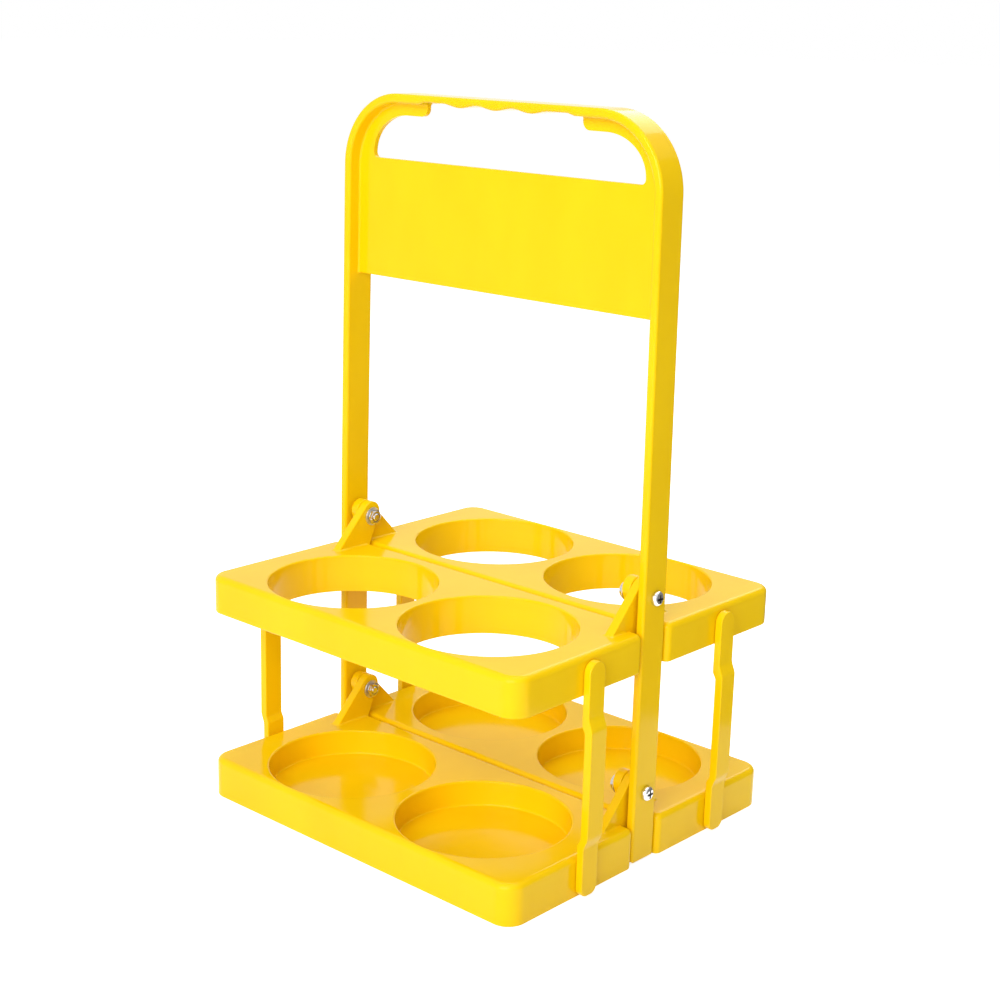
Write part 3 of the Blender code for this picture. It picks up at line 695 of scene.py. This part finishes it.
def link():
    """A side link of the right-hand side, from its upper peg's axis and the tray's side face."""
    rings = ring_heights(SEAT_GAP, SEAT_GAP + LINK_THICKNESS, LINK_ROUNDING, LINK_ROUNDING)
    mesh = slab(link_outline(), rings, ALONG_X)
    shape = bmesh.new()
    shape.from_mesh(mesh)
    bpy.data.meshes.remove(mesh)
    face = (LINK_FACE_BOW, LINK_FACE_SLOPE, LINK_FACE_UPPER, LINK_FACE_LOWER)
    back = (LINK_BACK_BOW, LINK_BACK_SLOPE, LINK_BACK_UPPER, LINK_BACK_LOWER)
    for _, slope, upper, lower in (face, back):
        rise = lower - DECK_PITCH
        runs = [slope * step / SLOPE_STEPS for step in range(SLOPE_STEPS + 1)]
        for height in [-upper - run for run in runs] + [rise + run for run in runs]:
            everything = shape.verts[:] + shape.edges[:] + shape.faces[:]
            bmesh.ops.bisect_plane(shape, geom=everything, plane_co=(0, 0, height), plane_no=(0, 0, 1))
    for vert in shape.verts:
        face_share = (vert.co.x - SEAT_GAP) / LINK_THICKNESS
        face_bow = bow_at(vert.co.z, *face)
        back_bow = bow_at(vert.co.z, *back)
        vert.co.x += face_bow * face_share + back_bow * (1 - face_share)
    body = combined(as_mesh(shape), side_by_side(peg(0), peg(-DECK_PITCH)), "UNION")
    return combined(body, side_by_side(peg_slit(0), peg_slit(-DECK_PITCH)), "DIFFERENCE")


def bolt():
    """A pan head bolt along X, from the middle plane, its head on the post's outer face.

    The faces deep in its cross recess take the second material, a dark metal that paints the recess's
    shade.
    """
    seat = POST_X + SEAT_GAP
    tip = EAR_FACE_X - WASHER_THICKNESS - NUT_THICKNESS - 2 * SEAT_GAP - THREAD_END
    crown = HEAD_HEIGHT - HEAD_SKIRT
    profile = [(BOLT_RADIUS - TIP_CHAMFER, tip)]
    for turn in range(THREAD_TURNS):
        crest = tip + TIP_CHAMFER + THREAD_PITCH * turn
        profile += [(BOLT_RADIUS, crest), (BOLT_RADIUS - THREAD_DEPTH, crest + THREAD_PITCH / 2)]
    shank = profile[-1][1] + THREAD_PITCH / 2
    profile += [(BOLT_RADIUS, shank), (BOLT_RADIUS, seat), (HEAD_RADIUS, seat)]
    for drop, inset in rounded_edge(crown):
        profile.append((HEAD_RADIUS - inset, seat + HEAD_HEIGHT - drop))
    body = turned(profile, ALONG_X)
    crown_x = seat + HEAD_HEIGHT
    drive_floor = crown_x - DRIVE_DEPTH
    drive_rings = [(drive_floor, DRIVE_TAPER), (crown_x, 0), (crown_x + CUT_OVERRUN, 0)]
    arm = DRIVE_WIDTH / 2
    tip_arm = DRIVE_LENGTH / 2
    quarter = [(arm, arm), (arm, tip_arm), (-arm, tip_arm)]
    cross = []
    for side in range(DRIVE_ARMS):
        spin = Matrix.Rotation(FULL_TURN * side / DRIVE_ARMS, 2)
        cross += [spin @ Vector(point) for point in quarter]
    body = combined(body, slab(cross, drive_rings, ALONG_X), "DIFFERENCE")
    # Faces deep in the cross recess get painted shade: a dark metal in place of the chrome.
    for face in body.polygons:
        deep = drive_floor - DRIVE_LIP < face.center.x < crown_x - DRIVE_LIP
        within = Vector((face.center.y, face.center.z)).length < tip_arm
        face.material_index = int(deep and within)
    return body


def washer():
    """A flat washer along X, from the middle plane, on the inboard ear."""
    high = EAR_FACE_X - SEAT_GAP
    rings = ring_heights(high - WASHER_THICKNESS, high, WASHER_ROUNDING, WASHER_ROUNDING)
    body = slab(circle(WASHER_RADIUS), rings, ALONG_X)
    bore_rings = ring_heights(high - WASHER_THICKNESS - CUT_OVERRUN, high + CUT_OVERRUN)
    bore = slab(circle(BOLT_RADIUS + BOLT_PLAY), bore_rings, ALONG_X)
    return combined(body, bore, "DIFFERENCE")


def nut():
    """A hexagon nut along X, from the middle plane, on its washer."""
    high = EAR_FACE_X - WASHER_THICKNESS - 2 * SEAT_GAP
    low = high - NUT_THICKNESS
    corner = Vector((NUT_FLATS / 2 / math.cos(HALF_TURN / NUT_SIDES), 0))
    hexagon = arc(Vector((0, 0)), corner, FULL_TURN, NUT_SIDES)[:-1]
    prism = slab(hexagon, ring_heights(low, high), ALONG_X)
    face = NUT_FLATS / 2 - NUT_CROWN
    profile = [
        (face, low),
        (corner.x, low + NUT_CHAMFER_RISE),
        (corner.x, high - NUT_CHAMFER_RISE),
        (face, high),
    ]
    body = combined(prism, turned(profile, ALONG_X), "INTERSECT")
    bore_rings = ring_heights(low - CUT_OVERRUN, high + CUT_OVERRUN)
    bore = slab(circle(BOLT_RADIUS + BOLT_PLAY), bore_rings, ALONG_X)
    return combined(body, bore, "DIFFERENCE")


def add_piece(node, mesh, material, location=(0, 0, 0), turn=0.0):
    """Sets a fine piece in the place of its node, on the node's body, with the given material, and hides
    the node.
    """
    piece = bpy.data.objects.new(f"{node}_fine", mesh)
    bpy.context.scene.collection.objects.link(piece)
    piece.location = location
    piece.rotation_euler = (0, 0, turn)
    if not mesh.materials:
        mesh.materials.append(material)
        mesh.shade_smooth()
        mesh.set_sharp_from_angle(angle=SMOOTH_ANGLE)
    normals = piece.modifiers.new("normals", "WEIGHTED_NORMAL")
    normals.keep_sharp = True
    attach(piece, BODY_OF[node])
    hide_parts(node)


def add_carrier():
    """Makes every piece of the carrier, with the trays laid open."""
    add_piece("handle_frame", handle_frame(), YELLOW)
    upper_mesh = half_tray(UPPER_SKIRT, UPPER_SKIRT + CUT_OVERRUN, 0)
    lower_mesh = half_tray(LOWER_TOP, RECESS_DEPTH, RECESS_FILLET)
    link_mesh = link()
    upper_peg_z = UPPER_HINGE_Z + PEG_Z
    halves = (("front", 1, 0.0, "right", "left"), ("back", -1, HALF_TURN, "left", "right"))
    for half, sign, turn, near_side, far_side in halves:
        add_piece(f"upper_{half}_tray", upper_mesh, YELLOW, (0, 0, UPPER_HINGE_Z), turn)
        add_piece(f"lower_{half}_tray", lower_mesh, YELLOW, (0, 0, LOWER_HINGE_Z), turn)
        near = (sign * SIDE_X, -sign * LINK_NEAR, upper_peg_z)
        far = (-sign * SIDE_X, -sign * LINK_FAR, upper_peg_z)
        add_piece(f"link_{half}_{near_side}", link_mesh, YELLOW, near, turn)
        add_piece(f"link_{half}_{far_side}", link_mesh, YELLOW, far, turn + HALF_TURN)

    bolt_mesh = bolt()
    washer_mesh = washer()
    nut_mesh = nut()
    for deck, height in (("upper", UPPER_HINGE_Z), ("lower", LOWER_HINGE_Z)):
        for side, turn in (("right", 0.0), ("left", HALF_TURN)):
            add_piece(f"bolt_{deck}_{side}", bolt_mesh, CHROME, (0, 0, height), turn)
            add_piece(f"washer_{deck}_{side}", washer_mesh, ZINC, (0, 0, height), turn)
            add_piece(f"nut_{deck}_{side}", nut_mesh, STEEL, (0, 0, height), turn)
    # The second slot holds the dark metal of the painted shade in the cross recess.
    bolt_mesh.materials.append(PAINTED_RECESS_SHADE)


class Shader:
    """The node tree of one material, with a Principled shader and the nodes that texture it."""

    def __init__(self, name):
        self.material = bpy.data.materials.new(name)
        self.material.use_nodes = True
        self.tree = self.material.node_tree
        self.tree.nodes.clear()
        output = self.tree.nodes.new("ShaderNodeOutputMaterial")
        self.principled = self.tree.nodes.new("ShaderNodeBsdfPrincipled")
        self.place = self.tree.nodes.new("ShaderNodeTexCoord").outputs["Object"]
        self.link(self.principled.outputs["BSDF"], output.inputs["Surface"])

    def link(self, source, target):
        self.tree.links.new(source, target)

    def noise(self, scale, detail, roughness, stretch=(1, 1, 1)):
        """A noise value in the piece's own metres."""
        mapping = self.tree.nodes.new("ShaderNodeMapping")
        mapping.inputs["Scale"].default_value = stretch
        self.link(self.place, mapping.inputs["Vector"])
        texture = self.tree.nodes.new("ShaderNodeTexNoise")
        texture.inputs["Scale"].default_value = scale
        texture.inputs["Detail"].default_value = detail
        texture.inputs["Roughness"].default_value = roughness
        self.link(mapping.outputs["Vector"], texture.inputs["Vector"])
        return texture.outputs["Fac"]

    def spread(self, value, low, high, first, last):
        """The value's range from low to high, spread from first to last."""
        spread = self.tree.nodes.new("ShaderNodeMapRange")
        spread.inputs["From Min"].default_value = low
        spread.inputs["From Max"].default_value = high
        spread.inputs["To Min"].default_value = first
        spread.inputs["To Max"].default_value = last
        self.link(value, spread.inputs["Value"])
        return spread.outputs["Result"]

    def mixed(self, factor, first, last):
        """A colour between two."""
        mix = self.tree.nodes.new("ShaderNodeMix")
        mix.data_type = "RGBA"
        mix.inputs["A"].default_value = (*first, 1)
        mix.inputs["B"].default_value = (*last, 1)
        self.link(factor, mix.inputs["Factor"])
        return mix.outputs["Result"]

    def bump(self, height, distance, strength):
        """A bump on top of the ones before it."""
        bump = self.tree.nodes.new("ShaderNodeBump")
        bump.inputs["Strength"].default_value = strength
        bump.inputs["Distance"].default_value = distance
        self.link(height, bump.inputs["Height"])
        normal = self.principled.inputs["Normal"]
        if normal.is_linked:
            self.link(normal.links[0].from_socket, bump.inputs["Normal"])
        self.link(bump.outputs["Normal"], normal)


def yellow_plastic():
    """Glossy yellow moulding: faint flow streaks in its colour, duller patches and a little orange peel."""
    shader = Shader("yellow_plastic")
    inputs = shader.principled.inputs
    streaks = shader.noise(STREAK_SCALE, 3.0, 0.55, STREAK_STRETCH)
    shader.link(shader.mixed(shader.spread(streaks, 0.35, 0.65, 0, 1), *YELLOWS), inputs["Base Color"])
    patches = shader.noise(PATCH_SCALE, 4.0, 0.6)
    shader.link(shader.spread(patches, 0.3, 0.7, *PLASTIC_ROUGHNESS), inputs["Roughness"])
    shader.bump(shader.noise(PEEL_SCALE, 2.0, 0.5), PEEL_HEIGHT, PEEL_STRENGTH)
    inputs["IOR"].default_value = PLASTIC_IOR
    inputs["Specular IOR Level"].default_value = PLASTIC_SPECULAR
    return shader.material


def metal(name, dark, light, roughness, grain):
    """Plated metal with a mottled tint and fine turning or rolling marks."""
    shader = Shader(name)
    inputs = shader.principled.inputs
    blotches = shader.noise(BLOTCH_SCALE, 3.0, 0.6)
    tint = shader.mixed(shader.spread(blotches, 0.35, 0.65, 0, 1), dark, light)
    shader.link(tint, inputs["Base Color"])
    smears = shader.noise(SMEAR_SCALE, 2.0, 0.5)
    shader.link(shader.spread(smears, 0.3, 0.7, *roughness), inputs["Roughness"])
    shader.bump(shader.noise(grain, 2.0, 0.5, MARK_STRETCH), MARK_HEIGHT, MARK_STRENGTH)
    inputs["Metallic"].default_value = 1.0
    return shader.material


def light_path(tree, *rays):
    """A value that is 1 for any of the named rays."""
    path = tree.nodes.new("ShaderNodeLightPath")
    value = path.outputs[rays[0]]
    for ray in rays[1:]:
        either = tree.nodes.new("ShaderNodeMath")
        either.operation = "MAXIMUM"
        tree.links.new(value, either.inputs[0])
        tree.links.new(path.outputs[ray], either.inputs[1])
        value = either.outputs[0]
    return value


def studio_floor():
    """A white floor that keeps the shadow of what stands on it and meets the white behind it unseen."""
    half = FLOOR_SIZE / 2
    mesh = bpy.data.meshes.new("studio_floor")
    corners = [(-half, -half, 0), (half, -half, 0), (half, half, 0), (-half, half, 0)]
    mesh.from_pydata(corners, [], [(0, 1, 2, 3)])
    floor = bpy.data.objects.new("studio_floor", mesh)
    bpy.context.scene.collection.objects.link(floor)
    material = bpy.data.materials.new("studio_floor")
    material.use_nodes = True
    tree = material.node_tree
    tree.nodes.clear()
    output = tree.nodes.new("ShaderNodeOutputMaterial")
    paper = tree.nodes.new("ShaderNodeBsdfDiffuse")
    paper.inputs["Color"].default_value = (FLOOR_SHADE, FLOOR_SHADE, FLOOR_SHADE, 1)
    lift = tree.nodes.new("ShaderNodeEmission")
    strength = tree.nodes.new("ShaderNodeMath")
    strength.operation = "MULTIPLY"
    strength.inputs[1].default_value = FLOOR_LIFT
    tree.links.new(light_path(tree, "Is Camera Ray", "Is Glossy Ray"), strength.inputs[0])
    tree.links.new(strength.outputs[0], lift.inputs["Strength"])
    both = tree.nodes.new("ShaderNodeAddShader")
    tree.links.new(paper.outputs[0], both.inputs[0])
    tree.links.new(lift.outputs[0], both.inputs[1])
    tree.links.new(both.outputs[0], output.inputs["Surface"])
    mesh.materials.append(material)


def studio_world():
    """Plain light from all round, and white for the camera and for what gloss or glass shows of it."""
    world = bpy.data.worlds.new("studio")
    world.use_nodes = True
    tree = world.node_tree
    tree.nodes.clear()
    output = tree.nodes.new("ShaderNodeOutputWorld")
    plain = tree.nodes.new("ShaderNodeBackground")
    plain.inputs["Strength"].default_value = WORLD_LEVEL
    plain.inputs["Color"].default_value = (1, 1, 1, 1)
    white = tree.nodes.new("ShaderNodeBackground")
    white.inputs["Strength"].default_value = 1.0
    white.inputs["Color"].default_value = (1, 1, 1, 1)
    mix = tree.nodes.new("ShaderNodeMixShader")
    seen = light_path(tree, "Is Camera Ray", "Is Glossy Ray", "Is Transmission Ray")
    tree.links.new(seen, mix.inputs[0])
    tree.links.new(plain.outputs[0], mix.inputs[1])
    tree.links.new(white.outputs[0], mix.inputs[2])
    tree.links.new(mix.outputs[0], output.inputs["Surface"])
    bpy.context.scene.world = world


def softbox(name, place, size, power):
    """A soft lamp that looks at the middle of the object."""
    lamp = bpy.data.lights.new(name, "AREA")
    lamp.shape = "RECTANGLE"
    lamp.size, lamp.size_y = size
    lamp.energy = power
    holder = bpy.data.objects.new(name, lamp)
    holder.location = place
    holder.rotation_euler = (LAMP_AIM - Vector(place)).to_track_quat("-Z", "Y").to_euler()
    bpy.context.scene.collection.objects.link(holder)


def dark_card():
    """A leaning dark card that only gloss sees, for the side faces and the metal to mirror."""
    mesh = bpy.data.meshes.new("dark_card")
    along = Vector((-math.sin(CARD_AZIMUTH), math.cos(CARD_AZIMUTH), 0)) * CARD_WIDTH / 2
    away = Vector((math.cos(CARD_AZIMUTH), math.sin(CARD_AZIMUTH), 0))
    foot = away * CARD_FOOT
    top = away * CARD_TOP + Vector((0, 0, CARD_HEIGHT))
    mesh.from_pydata([foot - along, foot + along, top + along, top - along], [], [(0, 1, 2, 3)])
    card = bpy.data.objects.new("dark_card", mesh)
    bpy.context.scene.collection.objects.link(card)
    material = bpy.data.materials.new("dark_card")
    material.use_nodes = True
    shader = material.node_tree.nodes["Principled BSDF"]
    shader.inputs["Base Color"].default_value = (CARD_SHADE, CARD_SHADE, CARD_SHADE, 1)
    shader.inputs["Roughness"].default_value = 1.0
    mesh.materials.append(material)
    card.visible_camera = False
    card.visible_diffuse = False
    card.visible_shadow = False


def camera():
    """The photograph's view, with its slight roll."""
    flat = math.cos(ELEVATION)
    back = Vector((math.sin(AZIMUTH) * flat, -math.cos(AZIMUTH) * flat, math.sin(ELEVATION)))
    level = Vector((math.cos(AZIMUTH), math.sin(AZIMUTH), 0))
    above = back.cross(level)
    right = level * math.cos(ROLL) + above * math.sin(ROLL)
    up = above * math.cos(ROLL) - level * math.sin(ROLL)
    data = bpy.data.cameras.new("camera")
    data.lens = LENS
    data.sensor_width = SENSOR
    holder = bpy.data.objects.new("camera", data)
    turn = Matrix((right, up, back)).transposed().to_4x4()
    holder.matrix_world = Matrix.Translation(AIM + back * DISTANCE) @ turn
    bpy.context.scene.collection.objects.link(holder)
    bpy.context.scene.camera = holder


BODIES = frame["record"]["behaviour"]["bodies"]
BODY_OF = {node: body for body, nodes in BODIES.items() for node in nodes}
YELLOW = yellow_plastic()
# Darkest and lightest tint, roughness from and to, and marks per metre of each metal
CHROME = metal("bolt_chrome", (0.7, 0.7, 0.72), (0.78, 0.78, 0.79), (0.06, 0.12), 4000)
STEEL = metal("nut_steel", (0.6, 0.58, 0.56), (0.72, 0.7, 0.68), (0.08, 0.16), 3000)
ZINC = metal("washer_zinc", (0.7, 0.69, 0.67), (0.8, 0.79, 0.77), (0.38, 0.5), 3000)
# A dark metal that paints the shade deep in the bolts' cross recesses.
PAINTED_RECESS_SHADE = metal("recess_painted_shade", (0.16, 0.15, 0.15), (0.26, 0.25, 0.25), (0.25, 0.4), 3000)

add_carrier()
camera()
studio_floor()
studio_world()
dark_card()
for lamp_row in LAMPS:
    softbox(*lamp_row)
bpy.context.scene.view_settings.view_transform = "Standard"
